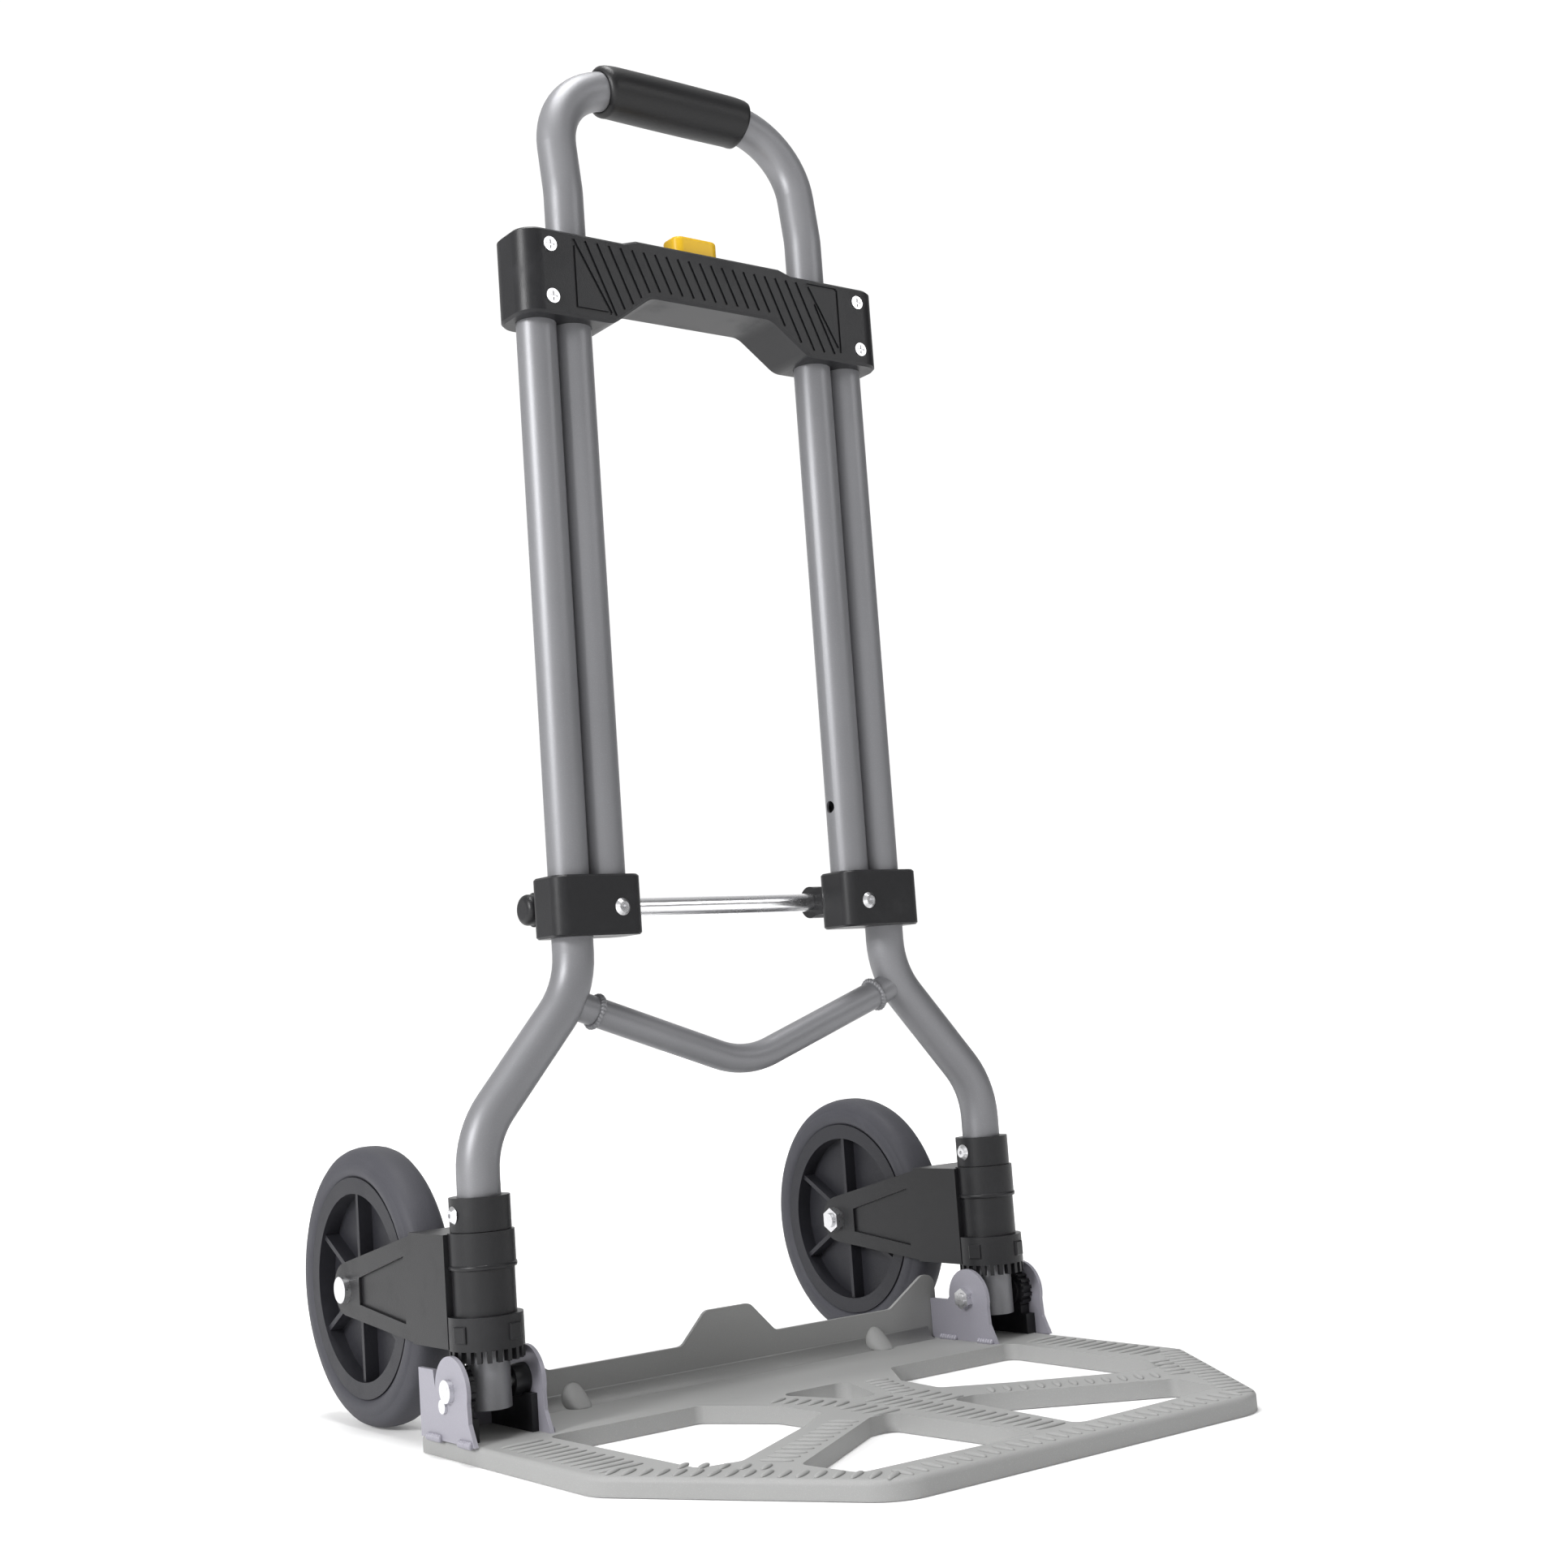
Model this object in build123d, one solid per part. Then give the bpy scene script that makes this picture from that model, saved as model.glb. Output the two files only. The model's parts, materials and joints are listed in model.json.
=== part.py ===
"""Folding hand truck: a toe plate that folds up against a telescopic frame.

Units are millimetres. +X runs across the truck, -Y is the toe plate side, +Z is up, and the
truck stands on z = 0 with the middle of its footprint's box at x = y = 0 before the last shift.
"""
import os
from math import cos, pi, radians, sin, tan

from build123d import *

# ---- driving dimensions -------------------------------------------------------------------
TUBE_R = 12.5            # frame and handle tubes, outside radius
TUBE_WALL = 1.5
TUBE_GAP = 0.5           # between a frame tube and the handle leg that slides beside it
FRAME_X = 120.0          # upper frame tube axis
LEG_X = 191.0            # lower leg axis, which is also the fork's swivel axis
BEND_TOP_Z = 257.0       # where the straight runs of the leg would meet
BEND_LOW_Z = 176.0
BEND_R = 55.0
LEG_END_Z = 25.3
BRACE_R = 9.0            # V brace between the legs
BRACE_WALL = 1.5
BRACE_END_Z = 247.0
BRACE_MID_Z = 204.0
BRACE_BEND_R = 60.0

HOUSING_TOP_Z = 721.0
HOUSING_CROWN = 3.0      # raised middle of the housing's top
HOUSING_LOW_Z = 667.0
HOUSING_ARCH_Z = 688.0
HOUSING_HALF_X = 139.0
HOUSING_FRONT_Y = -22.0
HOUSING_BACK_Y = 20.0
HOUSING_CORNER_R = 14.0
ARCH_FLAT_X = 47.0
ARCH_FOOT_X = 76.0
ARCH_R = 14.0
SCREW_Z = (677.7, 710.7)
SCREW_R = 2.4
SCREW_HEAD_R = 4.6
SCREW_HEAD_H = 2.2

BUTTON_X = 34.0
BUTTON_Y = 19.0
BUTTON_TOP_Z = 740.0
BUTTON_LOW_Z = 712.0
PIN_R = 3.0
PIN_Z = 699.0            # height of the lock pins
PIN_TRAVEL = 4.0
HANDLE_TRAVEL = 332.0

HANDLE_KINK_Z = 757.0    # the loop leans back from here
HANDLE_TOP_Z = 838.0
HANDLE_BACK_Y = 11.0
LOOP_R = 50.0
KINK_R = 60.0
GRIP_R = 17.0
GRIP_HALF_X = 56.0

SLIDE_TOP_Z = 323.5
SLIDE_LOW_Z = 287.0
SLIDE_WALL = 5.0
SLIDE_FRONT_Y = -18.5
ROD_R = 6.0
ROD_Y = 30.0
ROD_Z = 306.5
ROD_CAP_R = 9.5
ROD_CAP_T = 8.0
RIVET_R = 2.4
RIVET_HEAD_R = 5.2
RIVET_HEAD_H = 2.0

PLATE_HALF_X = 214.0
PLATE_REAR_Y = 40.0
PLATE_SIDE_Y = -146.0    # where the side edge turns into the corner chamfer
PLATE_FRONT_Y = -284.0
PLATE_FRONT_HALF_X = 128.0
PLATE_CORNER_R = 30.0
PLATE_T = 10.0
HOLE_R = 7.0             # corners of the deck openings
SHEET_T = 2.5
FLANGE_Z = 33.0
FLANGE_TAB_Z = 52.5
FLANGE_END_Z = 51.5
HINGE_Z = 38.0
HINGE_R = 4.0
HINGE_HEAD_R = 6.5
NUT_T = 4.5

EAR_TOP_R = 19.0
EAR_FRONT_Y = -27.0        # at the plate; the cheek narrows towards the pin
EAR_REAR_Y = 37.0
EAR_STEP_Z = 40.0
EAR_OUT_X = 22.5         # inside face of the outer ear from the leg axis
EAR_IN_X = 22.5          # inside face of the inner ear from the leg axis
EAR_T = 2.5
SECTOR_R = 13.4          # toothed liner round the hinge pin
SECTOR_T = 7.5
SECTOR_TEETH = 18
TOOTH_H = 1.6
SPACER_R = 9.0           # plastic boss between a cheek and the leg
SPACER_T = 4.0
LINER_RIVET = (7.0, 29.0) # y and z of the rivet through the liner

COLLAR_TOP_Z = 142.7
COLLAR_LOW_Z = 123.6
COLLAR_R = 17.5
SLEEVE_STEP_Z = 104.0
SLEEVE_RING_TOP_Z = 77.2
SLEEVE_RING_LOW_Z = 58.8
SLEEVE_R = 19.0
SLEEVE_RING_R = 21.5
CROWN_LOW_Z = 52.2
CROWN_TEETH = 22
WHEEL_BACK = 140.0       # axle behind the leg axis
WHEEL_R = 85.0
TYRE_HALF_W = 14.0
RIM_R = 67.0
RIM_IN_R = 57.0
RIM_HALF_W = 13.0
HUB_R = 15.0
BUSH_R = 8.0
AXLE_R = 5.0
ARM_GAP = 1.6            # between the hub and a fork arm
ARM_T = 5.5
ARM_END_R = 15.5

RUN_GAP = 0.05           # radial clearance of a shaft in its bore
FREE_GAP = 0.3           # clearance between faces that pass each other
SEAT_GAP = 0.05

HANDLE_X = FRAME_X - 2 * TUBE_R - TUBE_GAP
SIDES = {"left": -1, "right": 1}

os.makedirs("parts", exist_ok=True)


# ---- helpers ------------------------------------------------------------------------------
def rod(radius, start, end):
    """Round bar between two points."""
    start, end = Vector(*start), Vector(*end)
    run = end - start
    bar = extrude(Plane(origin=start, z_dir=run) * Circle(radius), run.length)
    return bar


def block(x0, x1, y0, y1, z0, z1):
    """Box between two corners."""
    low = (min(x0, x1), min(y0, y1), min(z0, z1))
    high = (max(x0, x1), max(y0, y1), max(z0, z1))
    size = [b - a for a, b in zip(low, high)]
    middle = [(a + b) / 2 for a, b in zip(low, high)]
    return Pos(*middle) * Box(*size)


def ring(outer, inner, z0, z1, x=0, y=0):
    """Upright hollow cylinder."""
    return Pos(x, y, (z0 + z1) / 2) * (Cylinder(outer, z1 - z0) - Cylinder(inner, z1 - z0 + 2))


def bent_bar(radius, points, radii):
    """Round bar along straight runs joined by arcs."""
    path = FilletPolyline(*points, radius=radii)
    start = Plane(origin=path @ 0, z_dir=path % 0)
    return sweep(start * Circle(radius), path=path)


def side_profile(points, x0, x1):
    """Closed outline of (y, z) points, extruded from x0 to x1."""
    face = make_face(Polyline(*[(0, y, z) for y, z in points], close=True))
    return Pos(min(x0, x1), 0, 0) * extrude(face, abs(x1 - x0), dir=(1, 0, 0))


def blind_rivet(x, y, z, depth):
    """Domed rivet that points along +Y, with the mandrel hole in its head."""
    head = Pos(x, y, z) * Rot(90, 0, 0) * Cone(RIVET_HEAD_R, RIVET_HEAD_R - 2, RIVET_HEAD_H,
                                               align=(Align.CENTER, Align.CENTER, Align.MIN))
    shank = rod(RIVET_R, (x, y, z), (x, y + depth, z))
    return head + shank - rod(1.2, (x, y - RIVET_HEAD_H - 1, z), (x, y - 0.5, z))


def hex_nut(across, thick, bore, x, y, z):
    """Nut round the X axis, from x towards +X."""
    plane = Plane(origin=(x, y, z), z_dir=(1, 0, 0))
    return extrude(plane * (RegularPolygon(across / 2, 6, major_radius=False) - Circle(bore)), thick)


def save(name, shape):
    """Write one node, moved so that the origin is the middle of the whole truck's footprint."""
    export_step(Pos(0, -FOOT_MID_Y, 0) * shape, f"parts/{name}.step")


FOOT_MID_Y = (PLATE_FRONT_Y + WHEEL_BACK + WHEEL_R) / 2


# ---- frame --------------------------------------------------------------------------------
def frame_tube(side):
    """Leg of the frame: straight, then out and down to the hinge."""
    points = [(side * FRAME_X, 0, HOUSING_TOP_Z - 8), (side * FRAME_X, 0, BEND_TOP_Z),
              (side * LEG_X, 0, BEND_LOW_Z), (side * LEG_X, 0, LEG_END_Z)]
    radii = [BEND_R, BEND_R]
    tube = bent_bar(TUBE_R, points, radii) - bent_bar(TUBE_R - TUBE_WALL, points, radii)
    tube -= rod(HINGE_R + RUN_GAP, (side * LEG_X - 20, 0, HINGE_Z), (side * LEG_X + 20, 0, HINGE_Z))
    tube -= rod(RIVET_R + SEAT_GAP, (side * LEG_X - 20, 0, COLLAR_RIVET_Z),
                (side * LEG_X, 0, COLLAR_RIVET_Z))
    for z in SCREW_Z:
        tube -= rod(SCREW_R + SEAT_GAP, (side * FRAME_X, -20, z), (side * FRAME_X, 20, z))
    return tube


def brace(legs):
    """V tube, cut to the legs that it is welded to."""
    points = [(-FRAME_X, 0, BRACE_END_Z), (0, 0, BRACE_MID_Z), (FRAME_X, 0, BRACE_END_Z)]
    tube = bent_bar(BRACE_R, points, [BRACE_BEND_R])
    tube -= bent_bar(BRACE_R - BRACE_WALL, points, [BRACE_BEND_R])
    for leg in legs:
        tube -= leg
    return max(tube.solids(), key=lambda piece: piece.volume)


COLLAR_RIVET_Z = (COLLAR_TOP_Z + COLLAR_LOW_Z) / 2
solid_legs = [bent_bar(TUBE_R, [(s * FRAME_X, 0, HOUSING_TOP_Z - 8), (s * FRAME_X, 0, BEND_TOP_Z),
                                (s * LEG_X, 0, BEND_LOW_Z), (s * LEG_X, 0, LEG_END_Z)], [BEND_R, BEND_R])
              for s in SIDES.values()]
for name, side in SIDES.items():
    save(f"{name}_frame_tube", frame_tube(side))
save("cross_brace", brace(solid_legs))


# ---- housing at the top of the frame ---------------------------------------------------------
CAVITY_X = 68.0
CAVITY_Y = 10.5
CAVITY_LOW_Z = 691.5
CAVITY_TOP_Z = HOUSING_TOP_Z - 3
SPRING_SEAT_X = 34.0
SPRING_SEAT_T = 2.0


def housing_body():
    """Whole housing before it is split: arched bar with its bores and its cavity."""
    outline = [(-HOUSING_HALF_X, HOUSING_LOW_Z), (-ARCH_FOOT_X, HOUSING_LOW_Z),
               (-ARCH_FLAT_X, HOUSING_ARCH_Z), (ARCH_FLAT_X, HOUSING_ARCH_Z),
               (ARCH_FOOT_X, HOUSING_LOW_Z), (HOUSING_HALF_X, HOUSING_LOW_Z),
               (HOUSING_HALF_X, HOUSING_TOP_Z), (66, HOUSING_TOP_Z),
               (56, HOUSING_TOP_Z + HOUSING_CROWN), (-56, HOUSING_TOP_Z + HOUSING_CROWN),
               (-66, HOUSING_TOP_Z), (-HOUSING_HALF_X, HOUSING_TOP_Z)]
    face = make_face(Polyline(*[(x, 0, z) for x, z in outline], close=True))
    bar = Pos(0, HOUSING_BACK_Y, 0) * extrude(face, HOUSING_BACK_Y - HOUSING_FRONT_Y, dir=(0, -1, 0))
    arch_edges = [e for e in bar.edges().filter_by(Axis.Y)
                  if e.center().Z < HOUSING_TOP_Z - 5 and abs(e.center().X) < HOUSING_HALF_X - 5]
    bar = fillet(arch_edges, ARCH_R)
    corners = bar.edges().filter_by(Axis.Z)
    bar = fillet(corners, HOUSING_CORNER_R)
    front = [e for e in bar.edges() if abs(e.center().Y - HOUSING_FRONT_Y) < 0.01]
    back = [e for e in bar.edges() if abs(e.center().Y - HOUSING_BACK_Y) < 0.01]
    bar = chamfer(front + back, 1.5)
    for side in SIDES.values():
        bar -= rod(TUBE_R + SEAT_GAP, (side * FRAME_X, 0, HOUSING_LOW_Z - 1),
                   (side * FRAME_X, 0, HOUSING_TOP_Z - 8))
        bar -= rod(TUBE_R + FREE_GAP, (side * HANDLE_X, 0, HOUSING_LOW_Z - 1),
                   (side * HANDLE_X, 0, HOUSING_TOP_Z + 9))
        bar -= rod(PIN_R + RUN_GAP, (side * 60, 0, PIN_Z), (side * 84, 0, PIN_Z))
    bar -= block(-CAVITY_X, CAVITY_X, -CAVITY_Y, CAVITY_Y, CAVITY_LOW_Z, CAVITY_TOP_Z)
    bar -= block(-BUTTON_X / 2 - FREE_GAP, BUTTON_X / 2 + FREE_GAP, -BUTTON_Y / 2 - FREE_GAP,
                 BUTTON_Y / 2 + FREE_GAP, CAVITY_TOP_Z - 1, HOUSING_TOP_Z + HOUSING_CROWN + 1)
    for side in SIDES.values():
        seat = block(side * SPRING_SEAT_X, side * (SPRING_SEAT_X + SPRING_SEAT_T), -CAVITY_Y, CAVITY_Y,
                     CAVITY_LOW_Z, CAVITY_TOP_Z - 12)
        bar += seat - rod(PIN_R + FREE_GAP, (side * 30, 0, PIN_Z), (side * 40, 0, PIN_Z))
        for z in SCREW_Z:
            bar -= rod(SCREW_R + SEAT_GAP, (side * FRAME_X, HOUSING_FRONT_Y - 1, z),
                       (side * FRAME_X, 16, z))
            bar -= rod(SCREW_HEAD_R + SEAT_GAP, (side * FRAME_X, HOUSING_FRONT_Y - 1, z),
                       (side * FRAME_X, HOUSING_FRONT_Y + 1.2, z))
    return bar


GROOVE_COUNT = 21
GROOVE_PITCH = 8.6
GROOVE_W = 1.9
GROOVE_DEPTH = 1.0
GROOVE_LEAN = tan(radians(24))
GROOVE_TOP_Z = HOUSING_TOP_Z - 4.0
GROOVE_MARGIN = 4.5      # solid border between a groove and the arch
CORNER_X = (78.0, 103.0) # feet of the triangle outline at each end of the grooves
CORNER_LOW_Z = HOUSING_LOW_Z + 6.0


def groove(start, end):
    """Straight cutter in the housing's front between two (x, z) points."""
    run = Vector(end[0] - start[0], end[1] - start[1])
    across = Vector(-run.Y, run.X).normalized() * (GROOVE_W / 2)
    points = [(start[0] - across.X, start[1] - across.Y), (end[0] - across.X, end[1] - across.Y),
              (end[0] + across.X, end[1] + across.Y), (start[0] + across.X, start[1] + across.Y)]
    face = make_face(Polyline(*[(x, 0, z) for x, z in points], close=True))
    return Pos(0, HOUSING_FRONT_Y + GROOVE_DEPTH, 0) * extrude(face, GROOVE_DEPTH + 1, dir=(0, -1, 0))


def arch_z(x):
    """Height of the arch's lower edge at x."""
    share = min(1.0, max(0.0, (abs(x) - ARCH_FLAT_X) / (ARCH_FOOT_X - ARCH_FLAT_X)))
    return HOUSING_ARCH_Z - share * (HOUSING_ARCH_Z - HOUSING_LOW_Z)


def grip_grooves():
    """Slanted finger grooves that follow the arch, with a triangle outline at each end."""
    cuts = []
    for i in range(GROOVE_COUNT):
        top_x = (i - (GROOVE_COUNT - 1) / 2) * GROOVE_PITCH - GROOVE_PITCH
        low_z = GROOVE_TOP_Z
        while low_z > arch_z(top_x + (GROOVE_TOP_Z - low_z) * GROOVE_LEAN) + GROOVE_MARGIN:
            low_z -= 0.5
        cuts.append(groove((top_x, GROOVE_TOP_Z), (top_x + (GROOVE_TOP_Z - low_z) * GROOVE_LEAN, low_z)))
    near, far = CORNER_X
    for side in SIDES.values():
        peak = (side * far, GROOVE_TOP_Z)
        foot = (side * far, CORNER_LOW_Z)
        tip = (side * near, GROOVE_TOP_Z) if side > 0 else (-near, CORNER_LOW_Z)
        cuts += [groove(peak, foot), groove(foot, tip), groove(tip, peak)]
    return cuts


housing = housing_body()
front_half = block(-200, 200, HOUSING_FRONT_Y - 5, 0, HOUSING_LOW_Z - 9, HOUSING_TOP_Z + 20)
rear_half = block(-200, 200, 0, HOUSING_BACK_Y + 5, HOUSING_LOW_Z - 9, HOUSING_TOP_Z + 20)
front_shell = housing & front_half
for cut in grip_grooves():
    front_shell -= cut
save("housing_front_shell", front_shell)
save("housing_rear_shell", housing & rear_half)

screws = []
for side in SIDES.values():
    for z in SCREW_Z:
        head_y = HOUSING_FRONT_Y + 1.2
        screw = rod(SCREW_HEAD_R, (side * FRAME_X, head_y - SCREW_HEAD_H, z), (side * FRAME_X, head_y, z))
        screw += rod(SCREW_R, (side * FRAME_X, head_y, z), (side * FRAME_X, 15, z))
        screw -= Pos(side * FRAME_X, head_y - SCREW_HEAD_H, z) * Box(6, 1.6, 1.2)
        screw -= Pos(side * FRAME_X, head_y - SCREW_HEAD_H, z) * Box(1.2, 1.6, 6)
        screws.append(screw)
save("housing_screws", Compound(children=screws))


# ---- button, lock pins and their springs -------------------------------------------------------
def coil(radius, wire, pitch, height):
    """Coil spring along +Z from z = 0."""
    path = Helix(pitch=pitch, height=height, radius=radius)
    return sweep(Plane(origin=path @ 0, z_dir=path % 0) * Circle(wire), path=path, is_frenet=True)


cap = block(-BUTTON_X / 2, BUTTON_X / 2, -BUTTON_Y / 2, BUTTON_Y / 2, BUTTON_LOW_Z, BUTTON_TOP_Z)
cap = fillet(cap.edges().filter_by(Axis.Z), 6)
cap = fillet(cap.faces().sort_by(Axis.Z)[-1].edges(), 2)
bore = (-BUTTON_X / 2 + 3, BUTTON_X / 2 - 3, -BUTTON_Y / 2 + 3, BUTTON_Y / 2 - 3)
cap -= block(*bore, BUTTON_LOW_Z - 1, BUTTON_TOP_Z - 4)
lip = block(-BUTTON_X / 2 - 2.5, BUTTON_X / 2 + 2.5, -BUTTON_Y / 2, BUTTON_Y / 2, BUTTON_LOW_Z,
            CAVITY_TOP_Z - FREE_GAP)
lip -= block(*bore, BUTTON_LOW_Z - 1, BUTTON_TOP_Z)
save("push_button", cap + lip)

SPRING_LOW_Z = CAVITY_LOW_Z
SPRING_TOP_Z = BUTTON_TOP_Z - 4
spring = Pos(0, 0, SPRING_LOW_Z + 0.8) * coil(4.2, 0.7, 5.0, SPRING_TOP_Z - SPRING_LOW_Z - 1.6)
save("button_spring", spring)

PIN_TIP_X = HANDLE_X - TUBE_R - FREE_GAP
PIN_END_X = 24.0
SHOULDER_X = 52.0
SHOULDER_T = 3.0
SHOULDER_R = 6.0
for name, side in SIDES.items():
    pin = rod(PIN_R, (side * PIN_END_X, 0, PIN_Z), (side * (PIN_TIP_X - 1), 0, PIN_Z))
    pin += rod(PIN_R - 1, (side * (PIN_TIP_X - 1.5), 0, PIN_Z), (side * PIN_TIP_X, 0, PIN_Z))
    pin += rod(SHOULDER_R, (side * SHOULDER_X, 0, PIN_Z), (side * (SHOULDER_X + SHOULDER_T), 0, PIN_Z))
    save(f"{name}_lock_pin", pin)
coil_len = SHOULDER_X - PIN_TRAVEL - FREE_GAP - SPRING_SEAT_X - SPRING_SEAT_T - 1.2
pin_springs = []
for side in SIDES.values():
    start = Plane(origin=(side * (SPRING_SEAT_X + SPRING_SEAT_T + 0.6), 0, PIN_Z), z_dir=(side, 0, 0))
    pin_springs.append(start * coil(4.4, 0.6, 2.6, coil_len))
save("lock_pin_springs", Compound(children=pin_springs))


# ---- telescopic handle ------------------------------------------------------------------------
HANDLE_END_Z = SLIDE_LOW_Z + 3
handle_points = [(-HANDLE_X, 0, HANDLE_END_Z), (-HANDLE_X, 0, HANDLE_KINK_Z),
                 (-HANDLE_X, HANDLE_BACK_Y, HANDLE_TOP_Z), (HANDLE_X, HANDLE_BACK_Y, HANDLE_TOP_Z),
                 (HANDLE_X, 0, HANDLE_KINK_Z), (HANDLE_X, 0, HANDLE_END_Z)]
handle_radii = [KINK_R, LOOP_R, LOOP_R, KINK_R]
handle_bar = bent_bar(TUBE_R, handle_points, handle_radii)
handle = handle_bar - bent_bar(TUBE_R - TUBE_WALL, handle_points, handle_radii)
for side in SIDES.values():
    for z in (PIN_Z, PIN_Z - HANDLE_TRAVEL):
        handle -= rod(PIN_R + 1.0, (side * (HANDLE_X - 20), 0, z), (side * HANDLE_X, 0, z))
    handle -= rod(RIVET_R + SEAT_GAP, (side * HANDLE_X, -20, ROD_Z - 3), (side * HANDLE_X, 0, ROD_Z - 3))
save("handle_tube", handle)

grip_zone = block(-GRIP_HALF_X, GRIP_HALF_X, -40, 60, HANDLE_TOP_Z - 60, HANDLE_TOP_Z + 40)
grip = bent_bar(GRIP_R, handle_points, handle_radii) & grip_zone
grip -= bent_bar(TUBE_R + SEAT_GAP, handle_points, handle_radii)
save("foam_grip", grip)


def slide_collar(side):
    """Block that is riveted to the handle leg and slides on the frame tube."""
    inner = HANDLE_X - TUBE_R - SLIDE_WALL + 1
    outer = FRAME_X + TUBE_R + SLIDE_WALL + 1.5
    body = block(side * inner, side * outer, SLIDE_FRONT_Y, 16, SLIDE_LOW_Z, SLIDE_TOP_Z)
    body = fillet(body.edges().filter_by(Axis.Z), 9)
    body = chamfer(body.faces().filter_by(Axis.Z).edges(), 1.2)
    boss = rod(ROD_CAP_R + 1, (side * (HANDLE_X - 12), ROD_Y, ROD_Z),
               (side * (FRAME_X + 8), ROD_Y, ROD_Z))
    boss += block(side * (HANDLE_X - 12), side * (FRAME_X + 8), 10, ROD_Y, ROD_Z - 9, ROD_Z + 9)
    body += boss
    body -= rod(ROD_R + SEAT_GAP, (side * 50, ROD_Y, ROD_Z), (side * 150, ROD_Y, ROD_Z))
    body -= rod(TUBE_R + FREE_GAP, (side * FRAME_X, 0, SLIDE_LOW_Z - 9),
                (side * FRAME_X, 0, SLIDE_TOP_Z + 9))
    body -= rod(TUBE_R + SEAT_GAP, (side * HANDLE_X, 0, HANDLE_END_Z),
                (side * HANDLE_X, 0, SLIDE_TOP_Z + 9))
    return body - rod(RIVET_R + SEAT_GAP, (side * HANDLE_X, SLIDE_FRONT_Y - 1, ROD_Z - 3),
                      (side * HANDLE_X, 0, ROD_Z - 3))


def rod_cap():
    """Rounded plug on the right-hand end of the tie rod."""
    face_x = FRAME_X + 8
    cap = rod(ROD_CAP_R, (face_x + SEAT_GAP, ROD_Y, ROD_Z), (face_x + ROD_CAP_T, ROD_Y, ROD_Z))
    cap = fillet(cap.faces().sort_by(Axis.X)[-1].edges(), 4)
    return cap - rod(ROD_R + 2 * SEAT_GAP, (face_x - 1, ROD_Y, ROD_Z), (face_x + 5, ROD_Y, ROD_Z))


right_collar = slide_collar(1)
save("right_slide_collar", right_collar)
save("left_slide_collar", mirror(right_collar, about=Plane.YZ))
rivet_depth = -SLIDE_FRONT_Y - TUBE_R + 4
slide_rivets = [blind_rivet(side * HANDLE_X, SLIDE_FRONT_Y, ROD_Z - 3, rivet_depth)
                for side in SIDES.values()]
rod_caps = [rod_cap(), mirror(rod_cap(), about=Plane.YZ)]
save("slide_collar_rivets", Compound(children=slide_rivets))
save("tie_rod_caps", Compound(children=rod_caps))
rod_end = FRAME_X + 8 + 4.9
save("tie_rod", rod(ROD_R, (-rod_end, ROD_Y, ROD_Z), (rod_end, ROD_Y, ROD_Z)))


# ---- toe plate and its hinges ------------------------------------------------------------------
def mirrored(points):
    return [(-x, y) for x, y in reversed(points)]


SIDE_HOLE = [(-174, -32), (-72, -32), (-46, -74), (-43, -113), (-76, -138), (-146, -181), (-170, -176)]
FRONT_HOLE = [(-22, -148), (-38, -149), (-134, -214), (-128, -254), (-14, -258)]
REAR_HOLE = [(-26, -46), (-8, -98), (8, -98), (26, -46)]
OUTLINE = [(-PLATE_HALF_X, PLATE_REAR_Y), (-PLATE_HALF_X, PLATE_SIDE_Y),
           (-PLATE_FRONT_HALF_X, PLATE_FRONT_Y), (PLATE_FRONT_HALF_X, PLATE_FRONT_Y),
           (PLATE_HALF_X, PLATE_SIDE_Y), (PLATE_HALF_X, PLATE_REAR_Y)]
FLANGE_Y = PLATE_REAR_Y - SHEET_T
GUSSET_X = 116.0


def flange():
    """Upturned rear edge with raised ends and a centre tab."""
    half = [(17, FLANGE_TAB_Z), (36, FLANGE_Z), (131, FLANGE_Z), (160, FLANGE_END_Z),
            (171, FLANGE_END_Z), (171, 3)]
    outline = [(-x, z) for x, z in reversed(half)] + half
    face = make_face(Polyline(*[(x, 0, z) for x, z in outline], close=True))
    soft = [v for v in face.vertices() if v.Z > 10]
    face = fillet(soft, 7)
    return Pos(0, PLATE_REAR_Y, 0) * extrude(face, SHEET_T, dir=(0, -1, 0))


def toe_plate():
    """Pressed deck: outline with five openings, hollow underneath, with its rear flange."""
    face = make_face(Polyline(*OUTLINE, close=True))
    soft = [v for v in face.vertices() if v.Y < 0]
    face = fillet(soft, PLATE_CORNER_R)
    holes = []
    for points in (SIDE_HOLE, mirrored(SIDE_HOLE), FRONT_HOLE, mirrored(FRONT_HOLE), REAR_HOLE):
        hole = make_face(Polyline(*points, close=True))
        holes.append(fillet(hole.vertices(), HOLE_R))
    deck = extrude(face, PLATE_T)
    deck = fillet(deck.faces().sort_by(Axis.Z)[-1].edges().filter_by(lambda e: e.center().Y < 39), 3)
    for hole in holes:
        deck -= extrude(hole, PLATE_T + 2)
    hollow = extrude(offset(face, -SHEET_T), PLATE_T - SHEET_T)
    for hole in holes:
        hollow -= extrude(offset(hole, SHEET_T), PLATE_T)
    deck -= hollow
    deck += flange()
    for side in SIDES.values():
        rib = [(FLANGE_Y + 1, PLATE_T - 1), (FLANGE_Y + 1, PLATE_T + 13), (FLANGE_Y - 13, PLATE_T - 1)]
        deck += side_profile(rib, side * (GUSSET_X - 2), side * (GUSSET_X + 2))
    return deck


save("toe_plate", toe_plate())


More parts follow.
